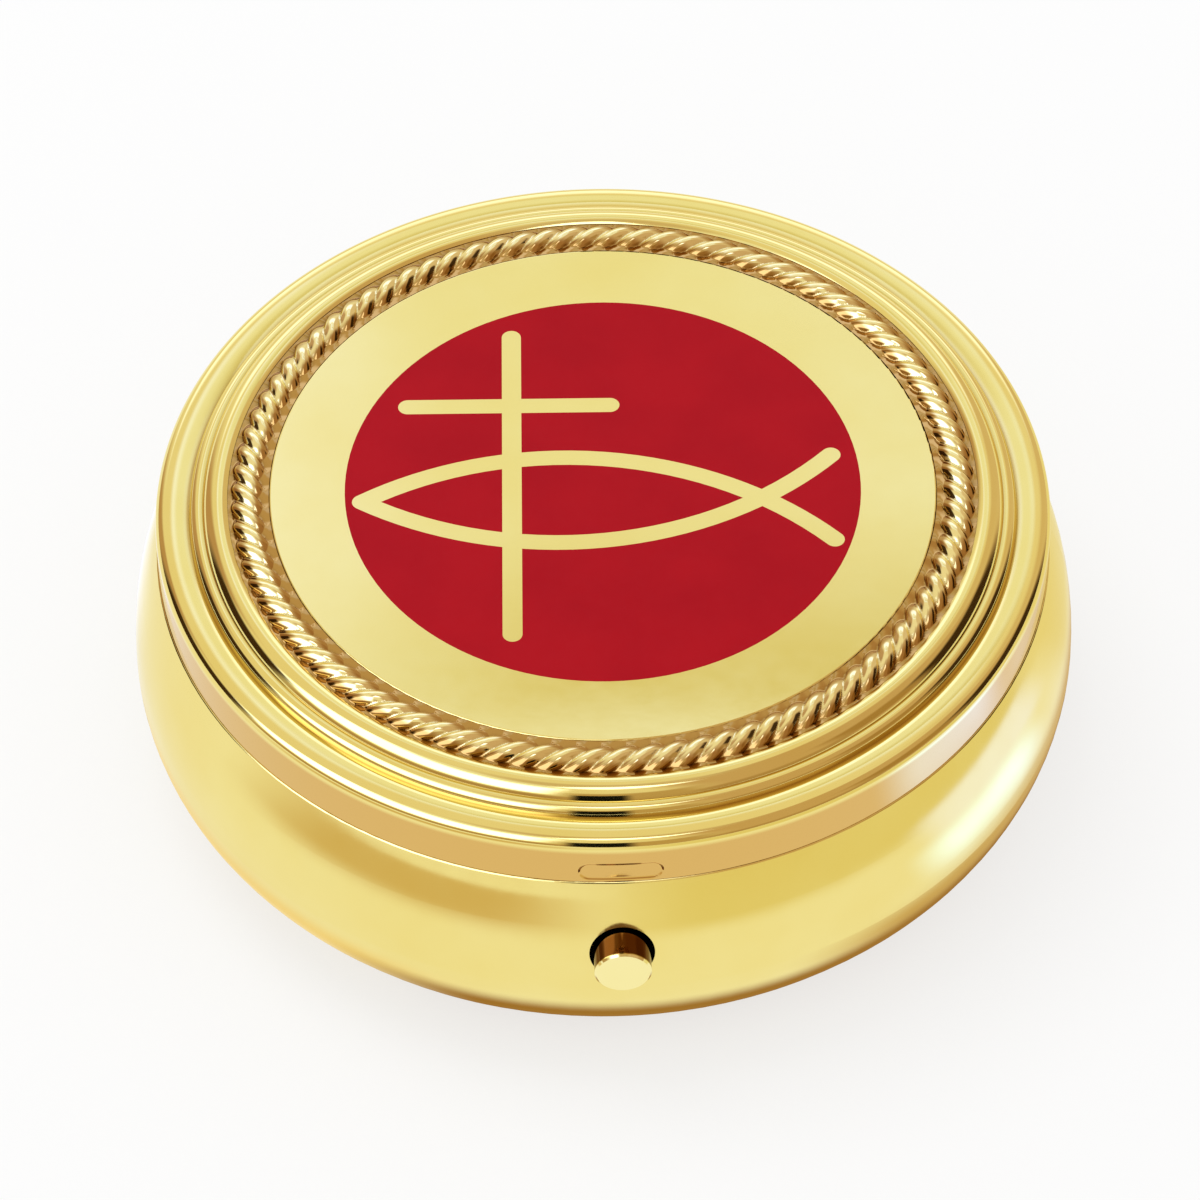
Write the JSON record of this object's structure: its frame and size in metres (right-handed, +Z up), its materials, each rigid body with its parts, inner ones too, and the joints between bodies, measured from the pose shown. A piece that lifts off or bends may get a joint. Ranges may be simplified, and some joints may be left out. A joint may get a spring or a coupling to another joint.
{
  "type": "pyx",
  "caption": "Round gilt pocket box with a bulging bowl, a hinged lid with a red enamel medallion in a rope border, and a push button that frees the lid's catch.",
  "frame": {"origin": "middle of the flat base", "axes": "+Z up through the lid, -Y towards the button, +Y towards the hinge"},
  "size_m": [0.0508, 0.0519, 0.0177],
  "materials": {
    "gilt_brass": "polished gilt",
    "spring_steel": "bright spring steel",
    "red_enamel": "smooth enamel"
  },
  "bodies": {
    "base": {"bowl_shell": "gilt_brass", "rim_ring": "gilt_brass", "liner_cup": "gilt_brass", "body_hinge_leaf": "gilt_brass", "hinge_pin": "gilt_brass", "lid_spring": "spring_steel", "catch_spring": "spring_steel", "catch_rivets": "gilt_brass"},
    "lid": {"lid_shell": "gilt_brass", "rope_border": "gilt_brass", "medallion_plate": "gilt_brass", "enamel_field": "red_enamel", "lid_liner": "gilt_brass", "catch_keeper": "gilt_brass", "lid_hinge_leaf": "gilt_brass"},
    "button": {"push_button": "gilt_brass"}
  },
  "joints": [
    {"name": "lid_hinge", "type": "hinge", "parent": "base", "child": "lid", "pos_m": [0, 0.0244, 0.01345], "axis": [-1, 0, 0], "range_deg": [0, 105], "deforming": ["lid_spring", "catch_spring"]},
    {"name": "button_press", "type": "slide", "parent": "base", "child": "button", "axis": [0, 1, 0], "range_m": [0, 0.0006], "stiffness_N_per_m": 1500, "deforming": ["catch_spring"]}
  ]
}
